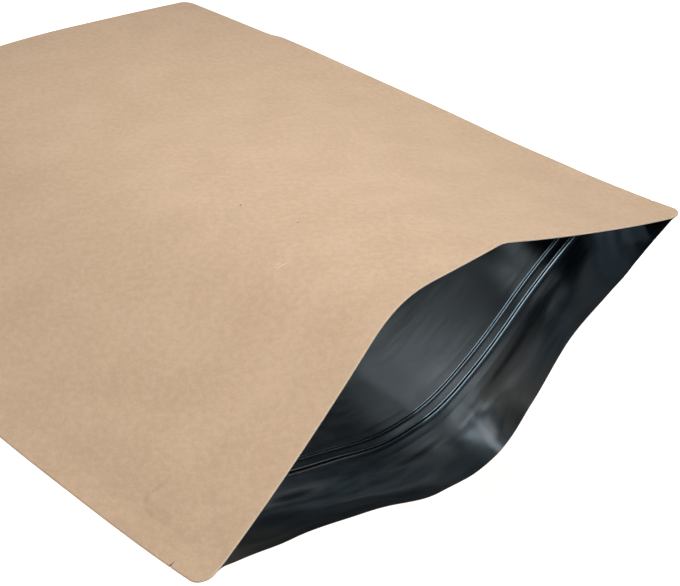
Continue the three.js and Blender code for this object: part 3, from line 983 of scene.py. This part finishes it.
def make_ply(name, side, bottom, thickness, short=0.0):
    """One ply of a web, at its height on the flat pouch, and cut short at the mouth."""
    piece = grid_sheet(name, column_places(WEB_PITCH), row_places(), bottom + thickness)
    flat = coordinates(piece)
    flat[:, 0] = trimmed(flat[:, 0], flat[:, 1])
    flat[:, 1] += short * ease(1 - flat[:, 1] / SHORT_FADES_OVER)
    set_coordinates(piece, flat)
    thicken(piece, thickness)
    keep_flat_place(piece)
    bend_open(piece, side)
    smooth(piece, PLY_SMOOTH_ANGLE)
    return piece


def halfway(across, down):
    """The points and normals halfway between both webs."""
    return (sample(surfaces[FRONT], across, down) + sample(surfaces[BACK], across, down)) / 2


def fold_gusset(piece):
    """Folds the flat strip in two round the fold and lays each leg along its web. Towards the
    fold both legs leave their webs and run halfway between them."""
    across, along, height = coordinates(piece).T
    past_fold = along - GUSSET_DEPTH - FOLD_LENGTH
    on_front = along < GUSSET_DEPTH
    on_back = past_fold > 0
    turn = np.clip((along - GUSSET_DEPTH) / FOLD_LENGTH, 0, 1) * math.pi
    down = np.select([on_front, on_back], [HEIGHT - along, past_fold + FOLD_DOWN], FOLD_DOWN)
    across = trimmed(across, down)
    middle = halfway(across, down)
    follow = np.select(
        [on_front[:, None], on_back[:, None]],
        [sample(surfaces[FRONT], across, down), sample(surfaces[BACK], across, down)],
        middle,
    )
    to_fold = ease((HEIGHT - down) / GUSSET_DEPTH)[:, None]
    base = follow * (1 - to_fold) + middle * to_fold
    up = base[:, 3:] / np.linalg.norm(base[:, 3:], axis=1)[:, None]
    mouthwards = halfway(across, down - MOUTHWARDS_OVER) - halfway(across, down + MOUTHWARDS_OVER)
    mouthwards = mouthwards[:, :3] / np.linalg.norm(mouthwards[:, :3], axis=1)[:, None]
    out = up * np.cos(turn)[:, None] + mouthwards * np.sin(turn)[:, None]
    lay_down(piece, base[:, :3] + out * (FOLD_RADIUS + height)[:, None])


def gusset_rows():
    """Places along the gusset's strip: one leg, the fold and the other leg."""
    fine = GUSSET_DEPTH - GUSSET_FINE_REACH
    leg = corner_places(GUSSET_CORNER_TURN) + steps(CORNER_RADIUS, fine, GUSSET_ROW_PITCH)
    leg += steps(fine, GUSSET_DEPTH, GUSSET_FINE_PITCH)
    fold_end = GUSSET_DEPTH + FOLD_LENGTH
    fold = steps(GUSSET_DEPTH, fold_end, FOLD_LENGTH / FOLD_STEPS) + [fold_end]
    return leg + fold + [fold_end + GUSSET_DEPTH - row for row in reversed(leg)]


def make_gusset(name, outer, thickness):
    """One ply of the gusset, with its outer face at a height over the strip's middle."""
    piece = grid_sheet(name, column_places(GUSSET_PITCH), gusset_rows(), outer)
    thicken(piece, thickness)
    keep_flat_place(piece)
    fold_gusset(piece)
    smooth(piece, PLY_SMOOTH_ANGLE)
    return piece


def select_faces(piece, wanted):
    """Selects the faces whose middle and normal are wanted, and leaves the piece in edit mode."""
    only(piece)
    bpy.ops.object.mode_set(mode="EDIT")
    bpy.ops.mesh.select_mode(type="FACE")
    bpy.ops.mesh.select_all(action="DESELECT")
    bpy.ops.object.mode_set(mode="OBJECT")
    for face in piece.data.polygons:
        face.select = wanted(face.center, face.normal)
    bpy.ops.object.mode_set(mode="EDIT")


def zip_rows(strips):
    """Rows of the flat track: the flange's edges, and both edges of every strip."""
    half = ZIP_FLANGE_WIDTH / 2
    thin = half - ZIP_THIN_EDGE
    edges = sorted({-half, -thin, 0.0, thin, half, *(edge for strip in strips for edge in strip)})
    return [ZIP_DOWN + edge for edge in edges]


def extrude_strips(piece, strips, rise, widen):
    """Raises the strips' top faces by a height, each widened about its strip's middle."""
    for low, high in strips:
        middle = (low + high) / 2 + ZIP_DOWN
        half = (high - low) / 2
        select_faces(
            piece,
            lambda centre, normal: abs(centre.y - middle) < half and normal.z > FACES_UP
            and centre.z > ZIP_FLANGE - ZIP_NEAR,
        )
        bpy.ops.mesh.extrude_region_move(TRANSFORM_OT_translate={"value": (0, 0, rise)})
        bpy.ops.transform.resize(value=(1, widen, 1), center_override=(0, middle, 0))
        bpy.ops.object.mode_set(mode="OBJECT")


def crush_zip_ends(flat):
    """Thins the flange's long edges, and lowers the ribs at both ends and the inner one all along."""
    edge = np.abs(flat[:, 1] - ZIP_DOWN) > ZIP_FLANGE_WIDTH / 2 - ZIP_NEAR
    flat[edge, 2] *= ZIP_THIN_PART
    from_seal = np.minimum(flat[:, 0], WIDTH - flat[:, 0]) - SIDE_SEAL
    crushed = ZIP_CRUSHED_RIB / ZIP_RIB_HEIGHT
    stand = crushed + (1 - crushed) * grown(from_seal, *ZIP_RIBS_RISE)
    stand *= np.where(flat[:, 1] > ZIP_DOWN, ZIP_INNER_RIB_PART, 1)
    over = np.maximum(flat[:, 2] - ZIP_FLANGE, 0)
    flat[:, 2] = np.minimum(flat[:, 2], ZIP_FLANGE) + over * stand


def turn_over(piece):
    """Points the faces of a mirrored piece outwards again."""
    only(piece)
    bpy.ops.object.mode_set(mode="EDIT")
    bpy.ops.mesh.select_all(action="SELECT")
    bpy.ops.mesh.flip_normals()
    bpy.ops.object.mode_set(mode="OBJECT")


def make_zip(name, side, strips, profile):
    """One zip track. On its flange stand two ribs: each is a pair of jaws on one track, and one
    stem with a wider head on the other. The flange takes the film's finish, and the ribs take
    the second one."""
    end = WIDTH - ZIP_END_INSET
    columns = steps(ZIP_END_INSET, end, ZIP_PITCH) + [end]
    piece = grid_sheet(name, columns, zip_rows(strips), 0)
    select_faces(piece, lambda centre, normal: True)
    bpy.ops.mesh.extrude_region_move(TRANSFORM_OT_translate={"value": (0, 0, ZIP_FLANGE)})
    bpy.ops.object.mode_set(mode="OBJECT")
    for rise, widen in profile:
        extrude_strips(piece, strips, rise * ZIP_RIB_HEIGHT, widen)
    for face in piece.data.polygons:
        face.material_index = int(face.center.z > ZIP_FLANGE + ZIP_NEAR)
    flat = coordinates(piece)
    crush_zip_ends(flat)
    flat[:, 2] *= -side
    set_coordinates(piece, flat)
    if side == FRONT:
        turn_over(piece)
    keep_flat_place(piece)
    bend_open(piece, side)
    smooth(piece, ZIP_SMOOTH_ANGLE)
    return piece


def rib_strips(widths, gap=0):
    """The strips of a flange that the ribs rise from, two to a rib if there is a gap."""
    strips = []
    for rib, width in zip((-ZIP_RIB_SPACING / 2, ZIP_RIB_SPACING / 2), widths):
        if gap:
            strips += [(rib - width / 2, rib - gap / 2), (rib + gap / 2, rib + width / 2)]
        else:
            strips.append((rib - width / 2, rib + width / 2))
    return strips


def make_pouch():
    """The webs' four plies, the gusset's two and both zip tracks."""
    paper = kraft_paper()
    edge = cut_paper()
    film = black_film("black_film")
    # The back web's lining takes a painted highlight, paler lines along its ridge
    highlighted_lining = black_film("film_with_painted_highlight", BACK_PAINTED_HIGHLIGHT)
    seal = cut_film()
    track = zip_plastic()

    piece = make_ply("front_kraft", FRONT, FILM, KRAFT)
    dress(piece, "kraft_paper", "front_web", paper, edge)
    piece = make_ply("front_lining", FRONT, 0, FILM)
    dress(piece, "black_film", "front_web", film, seal)
    piece = make_ply("back_lining", BACK, -FILM, FILM)
    dress(piece, "black_film", "back_web", highlighted_lining, seal)
    piece = make_ply("back_kraft", BACK, -WALL, KRAFT, BACK_PAPER_SHORT)
    dress(piece, "kraft_paper", "back_web", paper, edge)

    piece = make_gusset("gusset_lining", WALL / 2, FILM)
    dress(piece, "black_film", "bottom_gusset", film, film)
    piece = make_gusset("gusset_kraft", WALL / 2 - FILM, KRAFT)
    dress(piece, "kraft_paper", "bottom_gusset", paper, edge)

    piece = make_zip("zip_jaws", BACK, rib_strips(ZIP_RIB_WIDTHS, ZIP_JAW_GAP), JAW_PROFILE)
    dress(piece, "black_film", "zip_track_back", film, track)
    piece = make_zip("zip_stems", FRONT, rib_strips(ZIP_STEM_WIDTHS), STEM_PROFILE)
    dress(piece, "black_film", "zip_track_front", film, track)


# ---- Stage, light and camera ---------------------------------------------------------------------

def make_floor():
    bpy.ops.object.select_all(action="DESELECT")
    bpy.ops.mesh.primitive_plane_add(size=FLOOR_SIZE, location=(0, 0, 0))
    floor = bpy.context.object
    floor.name = "floor"
    floor.data.materials.append(pale_floor())


def add_light(name, kind, at, power, colour):
    data = bpy.data.lights.new(name, kind)
    data.energy = power
    data.color = colour
    light = bpy.data.objects.new(name, data)
    bpy.context.collection.objects.link(light)
    light.location = at
    light.visible_camera = False
    return light


def add_lamp(name, at, radius, power, colour):
    """A round lamp that lights all ways, and shows in no reflection."""
    lamp = add_light(name, "POINT", at, power, colour)
    lamp.data.shadow_soft_size = radius
    lamp.visible_glossy = False


def add_panel(name, at, facing, size, radiance, colour, spread=180):
    """A flat panel that shines one way, and only in reflections."""
    power = radiance * math.pi * size[0] * size[1]
    panel = add_light(name, "AREA", at, power, colour)
    panel.data.shape = "RECTANGLE"
    panel.data.size, panel.data.size_y = size
    panel.data.spread = math.radians(spread)
    panel.rotation_euler = Vector(facing).to_track_quat("-Z", "Y").to_euler()
    panel.visible_diffuse = False


def add_sheen(name, across, down, length, radiance, colour, spread):
    """A narrow panel just under the front web, seen as a soft sheen in the film below it."""
    found = sample(surfaces[FRONT], np.array([across]), np.array([down]))[0]
    out = upright(found[3:] / np.linalg.norm(found[3:]))
    at = upright(found[:3]) + RESTING_PLACE - out * SHEEN_BELOW_WEB
    add_panel(name, at, -out, (SHEEN_WIDTH, length), radiance, colour, spread)


def make_world():
    """A dim grey room that looks white itself, and is bluer and darker still in reflections."""
    world = bpy.data.worlds.new("studio")
    bpy.context.scene.world = world
    world.use_nodes = True
    nodes = world.node_tree.nodes
    links = world.node_tree.links
    path = nodes.new("ShaderNodeLightPath")
    colour = nodes.new("ShaderNodeMix")
    colour.data_type = "RGBA"
    for socket, value in zip(MIX_SOCKETS[1:], (ROOM_COLOUR, BLUE)):
        colour.inputs[socket].default_value = (*value, 1)
    unseen = nodes.new("ShaderNodeMapRange")
    unseen.inputs["To Min"].default_value = ROOM_LIGHT
    unseen.inputs["To Max"].default_value = ROOM_REFLECTED
    strength = nodes.new("ShaderNodeMapRange")
    strength.inputs["To Max"].default_value = 1
    links.new(path.outputs["Is Glossy Ray"], colour.inputs[MIX_SOCKETS[0]])
    links.new(path.outputs["Is Glossy Ray"], unseen.inputs["Value"])
    links.new(path.outputs["Is Camera Ray"], strength.inputs["Value"])
    links.new(unseen.outputs[0], strength.inputs["To Min"])
    links.new(colour.outputs[MIX_RESULT], nodes["Background"].inputs["Color"])
    links.new(strength.outputs[0], nodes["Background"].inputs["Strength"])


def make_light():
    make_world()
    for name, settings in LAMPS.items():
        add_lamp(name, *settings)
    for name, settings in PANELS.items():
        add_panel(name, *settings)
    for row, (first, down, length, colour, spread, sheens) in enumerate(SHEENS):
        for step, radiance in enumerate(sheens):
            across = first * MM + step * SHEEN_WIDTH
            name = f"sheen_{row}_{step}"
            add_sheen(name, across, down * MM, length * MM, radiance, colour, spread)


def make_camera():
    data = bpy.data.cameras.new("camera")
    data.lens = CAMERA_LENS
    data.sensor_width = CAMERA_SENSOR
    data.clip_start = CAMERA_CLIP_START
    camera = bpy.data.objects.new("camera", data)
    bpy.context.collection.objects.link(camera)
    camera.location = CAMERA_PLACE
    camera.rotation_euler = [math.radians(angle) for angle in CAMERA_TURN]
    bpy.context.scene.camera = camera


make_camera()
make_pouch()
make_floor()
make_light()
bpy.context.scene.view_settings.view_transform = "Standard"
